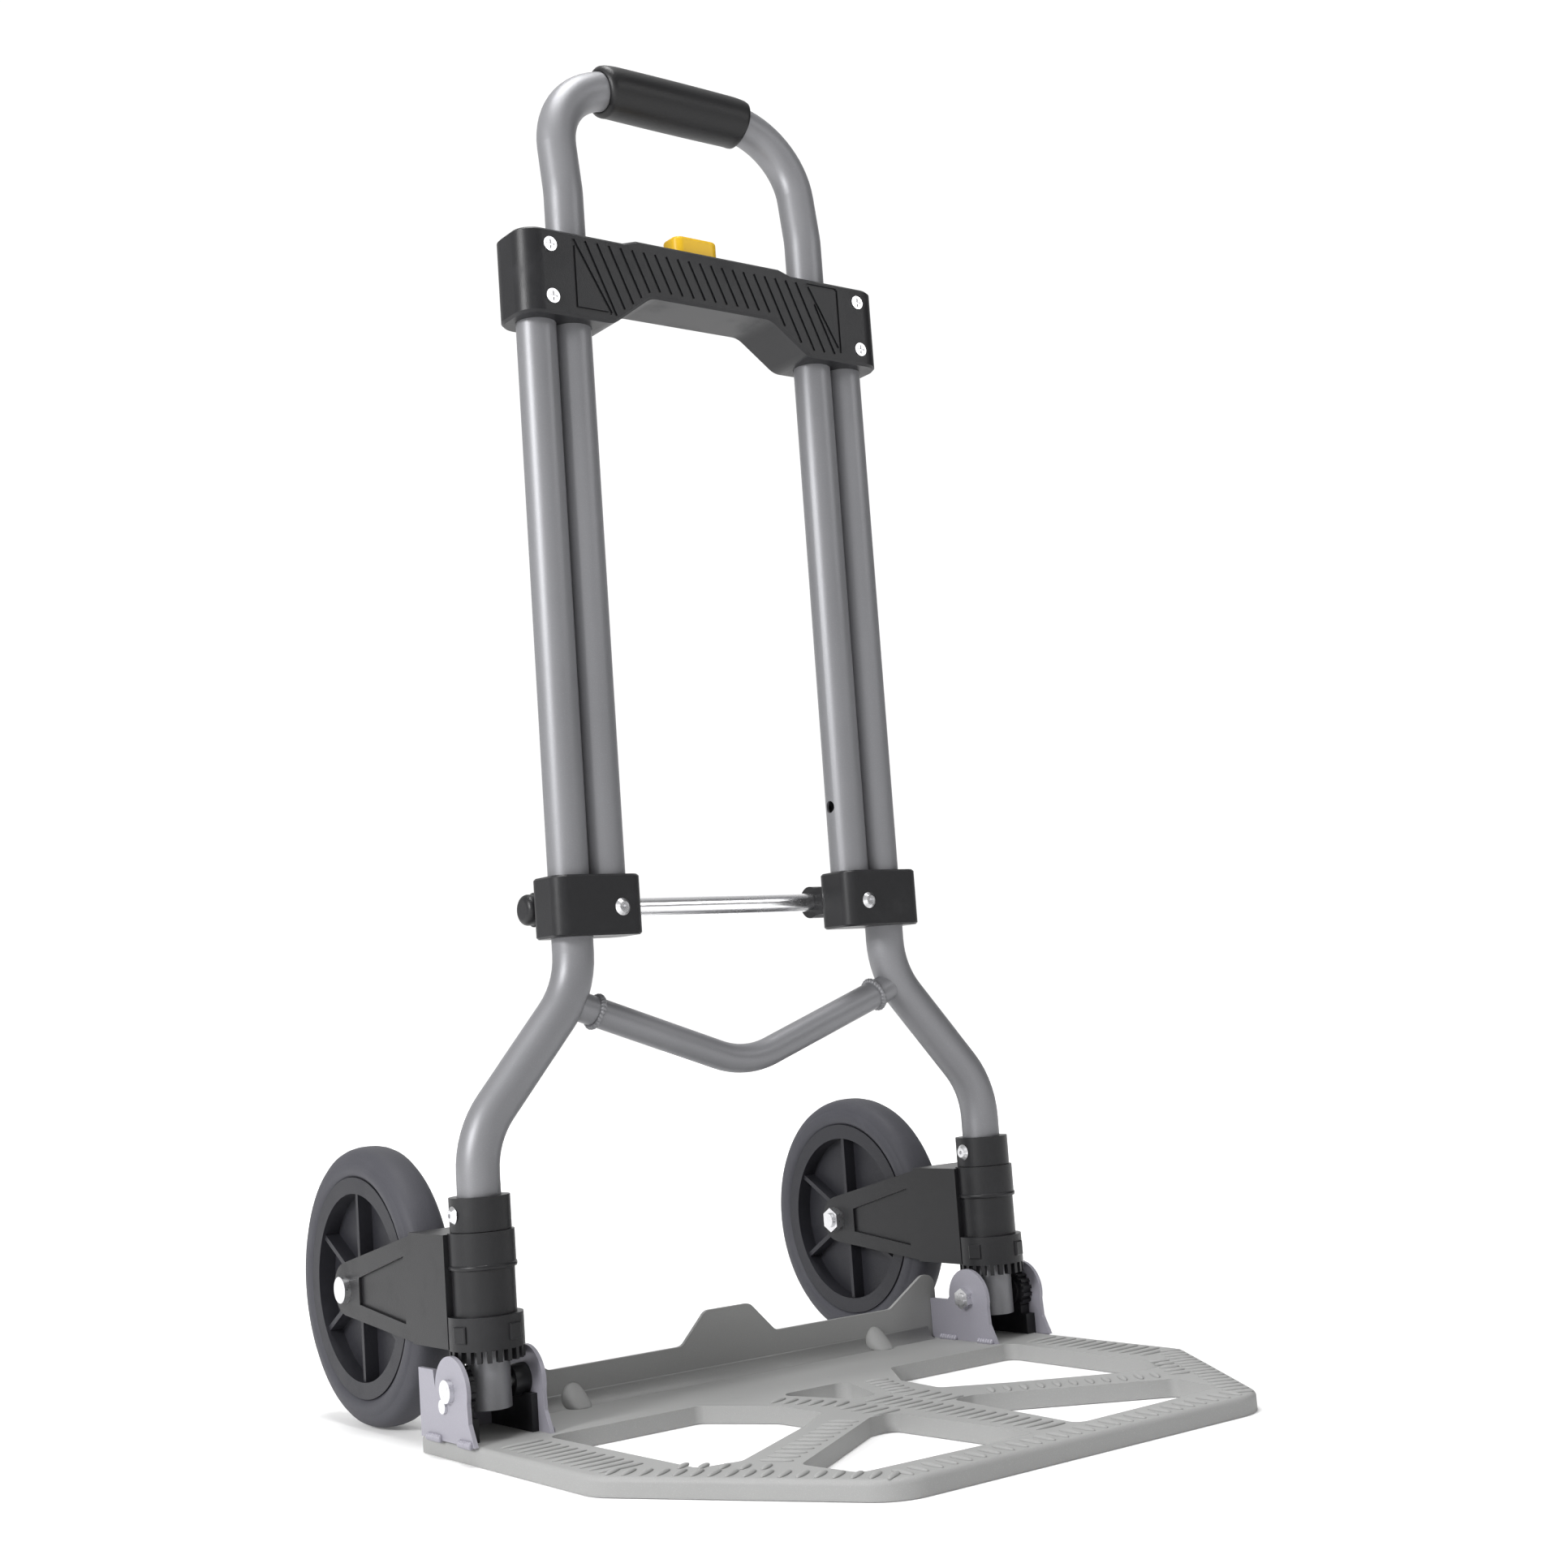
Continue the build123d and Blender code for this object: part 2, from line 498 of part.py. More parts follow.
def ear(side, x0, x1, rear_z):
    """One cheek of the hinge bracket, from x0 to x1."""
    low = PLATE_T
    dome = rod(EAR_TOP_R, (min(x0, x1), -2, HINGE_Z), (max(x0, x1), -2, HINGE_Z))
    outline = [(EAR_FRONT_Y, low), (EAR_FRONT_Y + 6, 22), (-2 - EAR_TOP_R + 1, HINGE_Z),
               (17, HINGE_Z), (19, rear_z), (EAR_REAR_Y, rear_z), (EAR_REAR_Y, low)]
    cheek = side_profile(outline, x0, x1) + dome
    cheek -= rod(HINGE_R + SEAT_GAP, (x0 - side * 20, 0, HINGE_Z), (x1 + side * 20, 0, HINGE_Z))
    return cheek


hinge_bolts, hinge_nuts, liner_rivets = [], [], []
for name, side in SIDES.items():
    axis = side * LEG_X
    out0 = axis + side * EAR_OUT_X
    in0 = axis - side * EAR_IN_X
    bracket = ear(side, out0, out0 + side * EAR_T, EAR_STEP_Z + 8)
    bracket += ear(side, in0 - side * EAR_T, in0, EAR_STEP_Z - 4)
    bracket += block(in0 - side * EAR_T, out0 + side * EAR_T, EAR_REAR_Y - SHEET_T, EAR_REAR_Y, PLATE_T, 30)
    bracket -= rod(2 + SEAT_GAP, (out0 - side * 9, *LINER_RIVET), (out0 + side * 9, *LINER_RIVET))
    save(f"{name}_hinge_bracket", bracket)

    liner_out = out0
    liner_in = out0 - side * SECTOR_T
    hub = rod(SECTOR_R - TOOTH_H, (liner_in, 0, HINGE_Z), (liner_out, 0, HINGE_Z))
    for i in range(SECTOR_TEETH):
        turn = 360 / SECTOR_TEETH * i
        tooth = block(liner_in, liner_out, -1.1, 1.1, SECTOR_R - TOOTH_H - 1, SECTOR_R)
        hub += Pos(0, 0, HINGE_Z) * Rot(turn, 0, 0) * tooth
    foot = block(liner_in, liner_out, -14, EAR_REAR_Y - SHEET_T - 0.2, PLATE_T, 23)
    foot += block(liner_in, liner_out, -9, 20, 22, 32)
    boss_end = axis + side * (TUBE_R + FREE_GAP)
    liner = hub + foot + rod(SPACER_R, (boss_end, 0, HINGE_Z), (liner_in + side, 0, HINGE_Z))
    liner -= rod(HINGE_R + SEAT_GAP, (boss_end - side, 0, HINGE_Z), (liner_out + side, 0, HINGE_Z))
    liner -= rod(2 + SEAT_GAP, (liner_in - side, *LINER_RIVET), (liner_out + side, *LINER_RIVET))
    save(f"{name}_gear_liner", liner)

    spacer_end = axis - side * (TUBE_R + FREE_GAP)
    spacer = rod(SPACER_R, (spacer_end, 0, HINGE_Z), (in0, 0, HINGE_Z))
    spacer += block(in0, in0 + side * SPACER_T, -14, EAR_REAR_Y - SHEET_T - 0.2, PLATE_T, 31)
    spacer -= rod(HINGE_R + SEAT_GAP, (spacer_end + side, 0, HINGE_Z), (in0 - side, 0, HINGE_Z))
    save(f"{name}_hinge_spacer", spacer)

    bolt_out = out0 + side * EAR_T
    bolt = rod(HINGE_HEAD_R, (bolt_out, 0, HINGE_Z), (bolt_out + side * 3, 0, HINGE_Z))
    bolt += rod(HINGE_R, (bolt_out, 0, HINGE_Z), (in0 - side * (EAR_T + 6), 0, HINGE_Z))
    hinge_bolts.append(bolt)
    nut_x = in0 - side * EAR_T
    nut_low_x = min(nut_x, nut_x - side * NUT_T)
    hinge_nuts.append(hex_nut(12, NUT_T, HINGE_R + SEAT_GAP, nut_low_x, 0, HINGE_Z))
    rivet = rod(2, (liner_in + side * 0.5, *LINER_RIVET), (bolt_out + side, *LINER_RIVET))
    head_x = bolt_out + side * SEAT_GAP
    rivet += rod(4, (head_x, *LINER_RIVET), (head_x + side * 1.6, *LINER_RIVET))
    liner_rivets.append(rivet)
save("hinge_bolts", Compound(children=hinge_bolts))
save("hinge_nuts", Compound(children=hinge_nuts))
save("liner_rivets", Compound(children=liner_rivets))


# ---- wheel forks -------------------------------------------------------------------------------
def fork(side):
    """Sleeve that turns on the leg, with two arms that hold the axle and a crown of teeth below."""
    axis = side * LEG_X
    sleeve = ring(SLEEVE_R, TUBE_R, SLEEVE_STEP_Z, COLLAR_LOW_Z - FREE_GAP, axis)
    sleeve += ring(SLEEVE_R - 1, TUBE_R, SLEEVE_RING_TOP_Z - 1, SLEEVE_STEP_Z + 1, axis)
    sleeve += ring(SLEEVE_RING_R, TUBE_R, SLEEVE_RING_LOW_Z, SLEEVE_RING_TOP_Z, axis)
    for i in range(CROWN_TEETH):
        turn = 360 / CROWN_TEETH * i
        tooth = block(17.2, SLEEVE_RING_R - 0.3, -1.3, 1.3, CROWN_LOW_Z, SLEEVE_RING_LOW_Z + 1)
        sleeve += Pos(axis, 0, 0) * Rot(0, 0, turn) * tooth
    half = TYRE_HALF_W + ARM_GAP
    neck_y = WHEEL_BACK - WHEEL_R - 5
    sleeve += block(axis - half - ARM_T, axis + half + ARM_T, 6, neck_y,
                    SLEEVE_RING_LOW_Z + 0.5, COLLAR_LOW_Z - 1)
    for inner, outer in ((half, half + ARM_T), (-half, -half - ARM_T)):
        hull = [(6, SLEEVE_RING_LOW_Z + 0.5), (neck_y, SLEEVE_RING_LOW_Z + 1.5),
                (WHEEL_BACK + 3, WHEEL_R - ARM_END_R), (WHEEL_BACK + 3, WHEEL_R + ARM_END_R),
                (neck_y, COLLAR_LOW_Z - 3), (6, COLLAR_LOW_Z - 1)]
        arm = side_profile(hull, axis + inner, axis + outer)
        arm += rod(ARM_END_R, (axis + inner, WHEEL_BACK, WHEEL_R), (axis + outer, WHEEL_BACK, WHEEL_R))
        recess = [(58, SLEEVE_RING_LOW_Z + 11), (WHEEL_BACK - 20, WHEEL_R - 8),
                  (WHEEL_BACK - 20, WHEEL_R + 8), (58, COLLAR_LOW_Z - 15)]
        face_x = axis + outer
        inward = 1.8 if outer < 0 else -1.8
        arm -= side_profile(recess, face_x - inward, face_x + inward)
        sleeve += arm
    sleeve -= block(axis - half, axis + half, neck_y, WHEEL_BACK + 40, 0, 200)
    sleeve -= rod(AXLE_R + SEAT_GAP, (axis - 50, WHEEL_BACK, WHEEL_R), (axis + 50, WHEEL_BACK, WHEEL_R))
    sleeve -= rod(TUBE_R + RUN_GAP, (axis, 0, 20), (axis, 0, 200))
    return sleeve


def wheel_rim(axis):
    """Spoked plastic rim between the tyre and the bushes."""
    plane = Plane(origin=(axis - RIM_HALF_W, WHEEL_BACK, WHEEL_R), z_dir=(1, 0, 0))
    width = 2 * RIM_HALF_W
    rim = extrude(plane * (Circle(RIM_R) - Circle(RIM_IN_R)), width)
    hub_plane = Plane(origin=(axis - TYRE_HALF_W, WHEEL_BACK, WHEEL_R), z_dir=(1, 0, 0))
    rim += extrude(hub_plane * Circle(HUB_R), 2 * TYRE_HALF_W)
    web = Plane(origin=(axis - 2, WHEEL_BACK, WHEEL_R), z_dir=(1, 0, 0))
    rim += extrude(web * Circle(RIM_IN_R + 1), 4)
    for i in range(6):
        rib = block(-RIM_HALF_W + 2, RIM_HALF_W - 2, -1.6, 1.6, HUB_R - 2, RIM_IN_R + 1)
        rim += Pos(axis, WHEEL_BACK, WHEEL_R) * Rot(60 * i, 0, 0) * rib
    return rim - rod(BUSH_R + SEAT_GAP, (axis - 20, WHEEL_BACK, WHEEL_R), (axis + 20, WHEEL_BACK, WHEEL_R))


def tyre(axis):
    """Solid tyre with a nearly flat tread and rounded shoulders."""
    plane = Plane(origin=(axis - TYRE_HALF_W, WHEEL_BACK, WHEEL_R), z_dir=(1, 0, 0))
    body = extrude(plane * Circle(WHEEL_R), 2 * TYRE_HALF_W)
    body = fillet(body.edges(), 6)
    return body - rod(RIM_R + SEAT_GAP, (axis - 20, WHEEL_BACK, WHEEL_R), (axis + 20, WHEEL_BACK, WHEEL_R))


collar_rivets = []
for name, side in SIDES.items():
    axis = side * LEG_X
    collar = ring(COLLAR_R, TUBE_R + SEAT_GAP, COLLAR_LOW_Z, COLLAR_TOP_Z, axis)
    collar = fillet(collar.edges().filter_by(GeomType.CIRCLE).sort_by(Axis.Z)[-1], 1)
    collar -= rod(RIVET_R + SEAT_GAP, (axis - 30, 0, COLLAR_RIVET_Z), (axis, 0, COLLAR_RIVET_Z))
    save(f"{name}_leg_collar", collar)
    rivet = blind_rivet(0, -COLLAR_R, COLLAR_RIVET_Z, COLLAR_R - TUBE_R + 4)
    collar_rivets.append(Pos(axis, 0, 0) * Rot(0, 0, -90) * rivet)
    save(f"{name}_fork", fork(side))
    save(f"{name}_rim", wheel_rim(axis))
    save(f"{name}_tyre", tyre(axis))
    bush_end = TYRE_HALF_W + 1
    bush = rod(BUSH_R, (axis - bush_end, WHEEL_BACK, WHEEL_R), (axis + bush_end, WHEEL_BACK, WHEEL_R))
    bush -= rod(AXLE_R + RUN_GAP, (axis - 30, WHEEL_BACK, WHEEL_R), (axis + 30, WHEEL_BACK, WHEEL_R))
    save(f"{name}_wheel_bush", bush)
    face = TYRE_HALF_W + ARM_GAP + ARM_T
    bolt = rod(AXLE_R, (axis - face, WHEEL_BACK, WHEEL_R), (axis + face + 8, WHEEL_BACK, WHEEL_R))
    if side > 0:
        bolt = rod(AXLE_R, (axis - face - 8, WHEEL_BACK, WHEEL_R), (axis + face, WHEEL_BACK, WHEEL_R))
    head_x = axis + side * face
    bolt += rod(8, (head_x, WHEEL_BACK, WHEEL_R), (head_x + side * 4, WHEEL_BACK, WHEEL_R))
    save(f"{name}_axle_bolt", bolt)
    nut_x = axis - side * face
    nut_low_x = min(nut_x, nut_x - side * 6)
    save(f"{name}_axle_nut", hex_nut(15, 6, AXLE_R + SEAT_GAP, nut_low_x, WHEEL_BACK, WHEEL_R))
save("leg_collar_rivets", Compound(children=collar_rivets))
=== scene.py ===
# %% [markdown]
# # A folding hand truck
# The design model already holds every tube, shell, hinge and wheel at its real size. This lesson
# loads it as a fixed frame, gives each part its finish, and adds what a maker would add last:
# the moulded tyres, the foam grip, the pressed treads of the toe plate and the weld beads.
# Everything is in metres, and every place is read from the frame or from a named size below.

# %% Load the frame
import json
from math import asin, cos, pi, radians, sin, sqrt

import bmesh
import bpy
from mathutils import Matrix, Vector


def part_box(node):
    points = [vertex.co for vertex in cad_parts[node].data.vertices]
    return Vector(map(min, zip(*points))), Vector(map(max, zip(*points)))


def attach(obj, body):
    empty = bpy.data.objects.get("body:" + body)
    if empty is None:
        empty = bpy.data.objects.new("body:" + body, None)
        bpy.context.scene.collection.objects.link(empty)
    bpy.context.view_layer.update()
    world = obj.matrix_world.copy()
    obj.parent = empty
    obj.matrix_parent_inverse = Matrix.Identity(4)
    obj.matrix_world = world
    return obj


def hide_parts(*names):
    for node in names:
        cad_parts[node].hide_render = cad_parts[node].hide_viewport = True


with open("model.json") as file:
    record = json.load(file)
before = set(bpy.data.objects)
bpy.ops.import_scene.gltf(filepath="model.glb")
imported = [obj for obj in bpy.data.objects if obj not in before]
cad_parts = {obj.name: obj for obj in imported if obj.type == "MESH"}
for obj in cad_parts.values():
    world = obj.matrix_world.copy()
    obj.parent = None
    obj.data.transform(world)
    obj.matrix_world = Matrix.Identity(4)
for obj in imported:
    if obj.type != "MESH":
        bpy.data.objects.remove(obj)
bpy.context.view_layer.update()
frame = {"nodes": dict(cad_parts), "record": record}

SIDES = {"left": -1, "right": 1}


# %% [markdown]
# Places come from the boxes of the parts that they belong to. A helper gives a node's middle and
# its size, so a tyre can be turned about the axle that the design model put there.

# %% Measure parts
def corners_of(node):
    return [Vector(corner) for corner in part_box(node)]


def middle(node):
    low, high = corners_of(node)
    return (low + high) / 2


def extent(node):
    low, high = corners_of(node)
    return high - low


AXLE = {name: middle(f"{name}_tyre") for name in SIDES}
WHEEL_R = extent("left_tyre").z / 2
DECK_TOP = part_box("left_hinge_bracket")[0][2]
SPINE_Y = middle("left_frame_tube").y
print("wheel radius", round(WHEEL_R, 4), "deck top", round(DECK_TOP, 4))

# %% [markdown]
# ## Camera, floor and light
# A long lens held low at the front left shows the plate and both wheels. A wide pale disc could
# show its rim as a horizon line, so the floor glows more with distance and runs into a white
# room. There is a large soft lamp on the left, a weaker one on the right and one overhead.

# %% Camera
CAMERA_AT = Vector((-0.7545, -1.0403, 0.2249))
CAMERA_TURN, CAMERA_TILT, CAMERA_ROLL = radians(-36.8), radians(6.7), radians(-4.1)
CAMERA_LENS, SENSOR_WIDTH, CAMERA_REACH = 47.5, 36, 50


def camera_axes(turn, tilt, roll):
    forward = Vector((-sin(turn) * cos(tilt), cos(turn) * cos(tilt), sin(tilt)))
    right = forward.cross(Vector((0, 0, 1))).normalized()
    up = right.cross(forward)
    return right * cos(roll) + up * sin(roll), up * cos(roll) - right * sin(roll), -forward


lens = bpy.data.cameras.new("camera")
lens.lens = CAMERA_LENS
lens.sensor_width = SENSOR_WIDTH
lens.clip_end = CAMERA_REACH
camera = bpy.data.objects.new("camera", lens)
CAMERA_AXES = camera_axes(CAMERA_TURN, CAMERA_TILT, CAMERA_ROLL)
camera.matrix_world = Matrix.Translation(CAMERA_AT) @ Matrix(CAMERA_AXES).transposed().to_4x4()
bpy.context.collection.objects.link(camera)
bpy.context.scene.camera = camera
print("lens", CAMERA_LENS, "mm")


# %% [markdown]
# Most pieces here are lists of points and faces. Writing them straight into a mesh keeps every
# object at the origin. One helper does it, merges doubled points and turns the faces outwards.

# %% A way to make a mesh object
MERGE_GAP = 1e-6


def piece_from(name, vertices, faces, smooth=True):
    mesh = bpy.data.meshes.new(name)
    mesh.from_pydata([tuple(v) for v in vertices], [], faces)
    mesh.update()
    made = bpy.data.objects.new(name, mesh)
    bpy.context.collection.objects.link(made)
    tidy = bmesh.new()
    tidy.from_mesh(mesh)
    bmesh.ops.remove_doubles(tidy, verts=tidy.verts, dist=MERGE_GAP)
    bmesh.ops.recalc_face_normals(tidy, faces=tidy.faces)
    tidy.to_mesh(mesh)
    tidy.free()
    for polygon in mesh.polygons:
        polygon.use_smooth = smooth
    return made


# %% [markdown]
# The floor is a plain disc, far wider than the view. Lamps could be points or suns, but those
# draw hard shadows; a round area lamp is soft, and softer the larger it is.

# %% Floor and lamps
FLOOR_R, FLOOR_SIDES, FLOOR_Z = 30.0, 64, -0.0005
floor_ring = []
for i in range(FLOOR_SIDES):
    turn = 2 * pi * i / FLOOR_SIDES
    floor_ring.append((FLOOR_R * cos(turn), FLOOR_R * sin(turn), FLOOR_Z))
floor = piece_from("floor", floor_ring, [tuple(range(FLOOR_SIDES))], smooth=False)


def lamp(name, at, aim, size, power):
    light = bpy.data.lights.new(name, "AREA")
    light.shape = "DISK"
    light.size = size
    light.energy = power
    made = bpy.data.objects.new(name, light)
    made.location = at
    made.rotation_euler = (Vector(aim) - Vector(at)).to_track_quat("-Z", "Y").to_euler()
    bpy.context.collection.objects.link(made)


AIM = (0.0, 0.0, 0.4)
lamp("key", (-2.6, -0.35, 1.3), AIM, size=0.8, power=60)
lamp("front", (1.35, -1.9, 1.54), AIM, size=1.0, power=9)
lamp("top", (-0.2, 0.0, 2.6), AIM, size=1.2, power=44)
print("floor radius", FLOOR_R, "m, lamps", len(bpy.data.lights))

# %% [markdown]
# The light that the room sends is white behind the truck and a softer grey elsewhere, apart from
# a dark stretch on the right, beside the camera. It acts as a studio's black card: without it,
# round tubes have no shaded side and look like flat strips. The room itself looks white.

# %% Room light
CARD_SIDE = (0.83, -0.55, 0.0)
ROOM_LIGHT, WALL_LIGHT, CARD_LIGHT = 0.50, 1.05, 0.12
WALL_EDGE, CARD_EDGE = (0.72, 0.86), (0.42, 0.72)
world = bpy.data.worlds.new("room")
world.use_nodes = True
room = world.node_tree
toward = room.nodes.new("ShaderNodeTexCoord")


def facing(axis, low, high, start, end):
    """Light that changes smoothly from start to end as a direction turns towards an axis."""
    near = room.nodes.new("ShaderNodeVectorMath")
    near.operation = "DOT_PRODUCT"
    near.inputs[1].default_value = axis
    room.links.new(toward.outputs["Generated"], near.inputs[0])
    change = room.nodes.new("ShaderNodeMapRange")
    change.interpolation_type = "SMOOTHSTEP"
    for label, value in {"From Min": low, "From Max": high, "To Min": start, "To Max": end}.items():
        change.inputs[label].default_value = value
    room.links.new(near.outputs["Value"], change.inputs["Value"])
    return change.outputs["Result"]


wall = facing(-CAMERA_AXES[2], *WALL_EDGE, ROOM_LIGHT, WALL_LIGHT)
card = facing(CARD_SIDE, *CARD_EDGE, 1.0, CARD_LIGHT)


def room_maths(operation, first, second):
    made = room.nodes.new("ShaderNodeMath")
    made.operation = operation
    for place, value in zip(made.inputs, (first, second)):
        if isinstance(value, float):
            place.default_value = value
        else:
            room.links.new(value, place)
    return made.outputs[0]


seen = room.nodes.new("ShaderNodeLightPath").outputs["Is Camera Ray"]
strength = room_maths("MAXIMUM", room_maths("MULTIPLY", wall, card), seen)
sky = room.nodes["Background"]
sky.inputs["Color"].default_value = (1, 1, 1, 1)
room.links.new(strength, sky.inputs["Strength"])
bpy.context.scene.world = world
bpy.context.scene.view_settings.view_transform = "Standard"
print("room tree", len(room.nodes), "nodes")

# %% [markdown]
# ## Finishes
# Shader maths reads best as ordinary expressions, so one small class wraps a socket and adds a
# Math node for each operator. Every finish starts from the same bench: a tree, its shader and
# the object's own coordinates in metres, so that grain has its real scale on every part.


# %% Shader bench
class Wire:
    """A socket that takes part in expressions; each operator adds a Math node."""

    def __init__(self, bench, socket):
        self.bench, self.socket = bench, socket

    def _maths(self, operation, first, second):
        return self.bench.node("ShaderNodeMath", {"operation": operation}, {0: first, 1: second})

    def __add__(self, other):
        return self._maths("ADD", self, other)

    __radd__ = __add__

    def __sub__(self, other):
        return self._maths("SUBTRACT", self, other)

    def __rsub__(self, other):
        return self._maths("SUBTRACT", other, self)

    def __mul__(self, other):
        return self._maths("MULTIPLY", self, other)

    __rmul__ = __mul__


class Bench:
    """One material's tree."""

    def __init__(self, name):
        self.material = bpy.data.materials.new(name)
        self.material.use_nodes = True
        self.tree = self.material.node_tree
        self.shader = self.tree.nodes["Principled BSDF"]
        self.place = self.node("ShaderNodeTexCoord", out="Object")

    def plug(self, socket, value):
        if isinstance(value, Wire):
            self.tree.links.new(value.socket, socket)
        elif isinstance(value, tuple) and len(value) == 3 and socket.type == "RGBA":
            socket.default_value = (*value, 1)
        else:
            socket.default_value = value

    def node(self, kind, settings=None, sockets=None, out=0):
        made = self.tree.nodes.new(kind)
        for key, value in (settings or {}).items():
            if key == "stops":
                for element, (position, shade) in zip(made.color_ramp.elements, value):
                    element.position = position
                    element.color = (shade, shade, shade, 1)
            else:
                setattr(made, key, value)
        for key, value in (sockets or {}).items():
            self.plug(made.inputs[key], value)
        return Wire(self, made.outputs[out])

    def noise(self, per_metre, detail=3.0, rough=0.55):
        sizes = {"Vector": self.place, "Scale": per_metre, "Detail": detail, "Roughness": rough}
        return self.node("ShaderNodeTexNoise", {}, sizes)

    def cells(self, per_metre):
        return self.node("ShaderNodeTexVoronoi", {}, {"Vector": self.place, "Scale": per_metre})

    def ramp(self, value, low, high):
        return self.node("ShaderNodeValToRGB", {"stops": [(low, 0.0), (high, 1.0)]}, {0: value})

    def blend(self, amount, first, second):
        made = self.tree.nodes.new("ShaderNodeMix")
        made.data_type = "RGBA"
        self.plug(made.inputs[0], amount)
        self.plug(made.inputs[6], first)
        self.plug(made.inputs[7], second)
        return Wire(self, made.outputs[2])

    def bump(self, height, strength, depth):
        sizes = {"Height": height, "Strength": strength, "Distance": depth}
        return self.node("ShaderNodeBump", {}, sizes)

    def finish(self, **sockets):
        for key, value in sockets.items():
            self.plug(self.shader.inputs[key.replace("_", " ")], value)
        return self.material


# %% [markdown]
# Powder paint is slightly metallic grey. Two things stop it looking like card: a fine flake that
# lightens single specks, and a soft orange peel in the normal. The plate's coat is a little
# warmer and rougher than the tubes', because it is sprayed over pressed sheet. A painted-on
# picture could give the same speckle, but it would stretch on bends; noise in metres doesn't.

# %% Paint
def powder_paint(name, light, dark, gloss, metal, sheen=0.5):
    bench = Bench(name)
    cloud = bench.noise(9.0)
    flake = bench.ramp(bench.noise(2600.0, 1.0), 0.60, 0.74)
    scuff = bench.ramp(bench.noise(60.0, 6.0, 0.7), 0.62, 0.80)
    base = bench.blend(cloud, dark, light)
    base = bench.blend(flake * 0.30, base, tuple(min(1.0, c * 1.55) for c in light))
    base = bench.blend(scuff * 0.18, base, tuple(c * 0.72 for c in dark))
    peel = bench.bump(bench.noise(700.0, 2.0), 0.10, 0.0004)
    rough = gloss + 0.12 * scuff + 0.06 * cloud
    return bench.finish(Base_Color=base, Roughness=rough, Metallic=metal,
                        Specular_IOR_Level=sheen, Normal=peel)


TUBE_PAINT = powder_paint("silver_tube_paint", (0.225, 0.226, 0.238),
                          (0.185, 0.186, 0.196), gloss=0.42, metal=0.40)
PLATE_PAINT = powder_paint("silver_plate_paint", (0.325, 0.326, 0.323),
                           (0.275, 0.276, 0.273), gloss=0.58, metal=0.08, sheen=0.3)
BRACKET_PAINT = powder_paint("silver_bracket_paint", (0.315, 0.308, 0.350),
                             (0.270, 0.262, 0.302), gloss=0.42, metal=0.22)
print("paints", [paint.name for paint in (TUBE_PAINT, PLATE_PAINT, BRACKET_PAINT)])


# %% [markdown]
# The mouldings are glass-filled nylon: nearly black, matt, with a fine spark-eroded grain and
# faint greyish bloom where hands and the floor rub them. Each could have a tree of its own, but
# they differ only in tone and grain, so one function makes them all, rubber included.

# %% Plastics, rubber and foam
def moulding(name, dark, bloom, gloss, grain, depth, sheen=0.35):
    bench = Bench(name)
    rub = bench.ramp(bench.noise(35.0, 6.0, 0.65), 0.52, 0.80)
    speck = bench.noise(grain, 2.0)
    base = bench.blend(rub * 0.55, dark, bloom)
    base = bench.blend(speck * 0.25, base, tuple(c * 0.6 for c in dark))
    rough = gloss + 0.16 * rub + 0.05 * speck
    return bench.finish(Base_Color=base, Roughness=rough, Specular_IOR_Level=sheen,
                        Normal=bench.bump(speck, 0.28, depth))


BLACK_PLASTIC = moulding("black_nylon", (0.012, 0.012, 0.0135),
                         (0.026, 0.026, 0.029), gloss=0.36, grain=1500.0, depth=0.0003)
RIM_PLASTIC = moulding("rim_nylon", (0.020, 0.020, 0.025),
                       (0.038, 0.038, 0.045), gloss=0.46, grain=1300.0, depth=0.0003)
BUSH_PLASTIC = moulding("bush_nylon", (0.06, 0.06, 0.062),
                        (0.10, 0.10, 0.10), gloss=0.45, grain=1200.0, depth=0.0002)
TYRE_RUBBER = moulding("tyre_rubber", (0.052, 0.052, 0.062),
                       (0.082, 0.082, 0.094), gloss=0.58, grain=900.0, depth=0.0004)
YELLOW_PLASTIC = moulding("yellow_button", (0.78, 0.47, 0.012),
                          (0.84, 0.55, 0.03), gloss=0.34, grain=900.0, depth=0.0002)


def foam():
    bench = Bench("black_foam")
    pores = bench.cells(1100.0)
    cloud = bench.noise(25.0, 4.0)
    base = bench.blend(cloud, (0.0030, 0.0030, 0.0034), (0.0075, 0.0075, 0.0085))
    return bench.finish(Base_Color=base, Roughness=0.36 + 0.16 * cloud, Specular_IOR_Level=0.4,
                        Normal=bench.bump(pores, 0.16, 0.0004))


FOAM = foam()


# %% [markdown]
# Metal parts are fully metallic, so the only things left to vary are the tone and the roughness:
# zinc is mottled, the tie bar is polished chrome with faint cloudy wipe marks. A flat tone would
# do from afar; the mottling is there for the close look, where plating is never even.

# %% Metals
def plated(name, light, dark, gloss, spots, swing):
    bench = Bench(name)
    cloud = bench.noise(spots, 4.0)
    fine = bench.noise(spots * 9, 2.0)
    return bench.finish(Base_Color=bench.blend(cloud, dark, light), Metallic=1.0,
                        Roughness=gloss + swing * cloud, Normal=bench.bump(fine, 0.06, 0.0002))


ZINC = plated("zinc_plate", (0.86, 0.86, 0.87), (0.62, 0.62, 0.64),
              gloss=0.20, spots=260.0, swing=0.18)
CHROME = plated("chrome_bar", (0.97, 0.97, 0.98), (0.90, 0.90, 0.92),
                gloss=0.20, spots=60.0, swing=0.12)
SPRING_STEEL = plated("spring_steel", (0.62, 0.62, 0.62),
                      (0.46, 0.46, 0.47), gloss=0.28, spots=300.0, swing=0.15)


